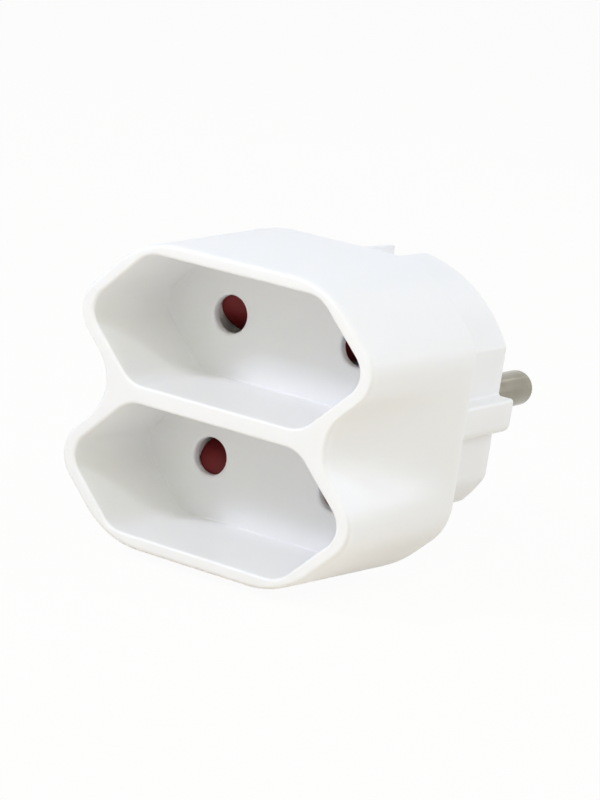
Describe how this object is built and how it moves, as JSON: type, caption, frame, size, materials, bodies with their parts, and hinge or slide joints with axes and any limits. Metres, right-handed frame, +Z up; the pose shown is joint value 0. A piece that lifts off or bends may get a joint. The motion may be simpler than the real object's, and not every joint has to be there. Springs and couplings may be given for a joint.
{
  "type": "two-way plug adapter",
  "caption": "Flat-plug adapter for round wall sockets: a white body with stacked hexagonal wells, sprung red shutters behind their holes, and round pins at the back.",
  "frame": {"origin": "middle of the plug face, halfway between the two pins where they leave the plastic", "axes": "+Y along the pins towards the wall, +Z up across the two wells, +X along the wells, to the user's right"},
  "size_m": [0.0434, 0.061, 0.0406],
  "materials": {
    "white_shell": "semi-gloss",
    "white_base": "satin",
    "guide_plastic": "matte",
    "red_shutter": "satin",
    "plated_pin": "nickel plated, polished",
    "contact_brass": "plain rolled",
    "spring_steel": "drawn wire",
    "screw_steel": "zinc plated"
  },
  "bodies": {
    "housing": {"front_housing": "white_shell", "plug_base": "white_base", "shutter_guide": "guide_plastic", "upper_shutter_spring": "spring_steel", "lower_shutter_spring": "spring_steel", "left_pin": "plated_pin", "right_pin": "plated_pin", "left_pin_washer": "spring_steel", "right_pin_washer": "spring_steel", "left_contact_strip": "contact_brass", "right_contact_strip": "contact_brass", "upper_left_clip": "contact_brass", "upper_right_clip": "contact_brass", "lower_left_clip": "contact_brass", "lower_right_clip": "contact_brass", "upper_left_clip_rivet": "contact_brass", "upper_right_clip_rivet": "contact_brass", "lower_left_clip_rivet": "contact_brass", "lower_right_clip_rivet": "contact_brass", "closing_screw": "screw_steel"},
    "upper_shutter": {"upper_shutter": "red_shutter"},
    "lower_shutter": {"lower_shutter": "red_shutter"}
  },
  "joints": [
    {"name": "upper_shutter_slide", "type": "slide", "parent": "housing", "child": "upper_shutter", "axis": [0, 0, 1], "range_m": [0, 0.00455], "stiffness_N_per_m": 120, "springref_m": -0.002, "deforming": ["upper_shutter_spring"]},
    {"name": "lower_shutter_slide", "type": "slide", "parent": "housing", "child": "lower_shutter", "axis": [0, 0, -1], "range_m": [0, 0.00455], "stiffness_N_per_m": 120, "springref_m": -0.002, "deforming": ["lower_shutter_spring"]}
  ]
}
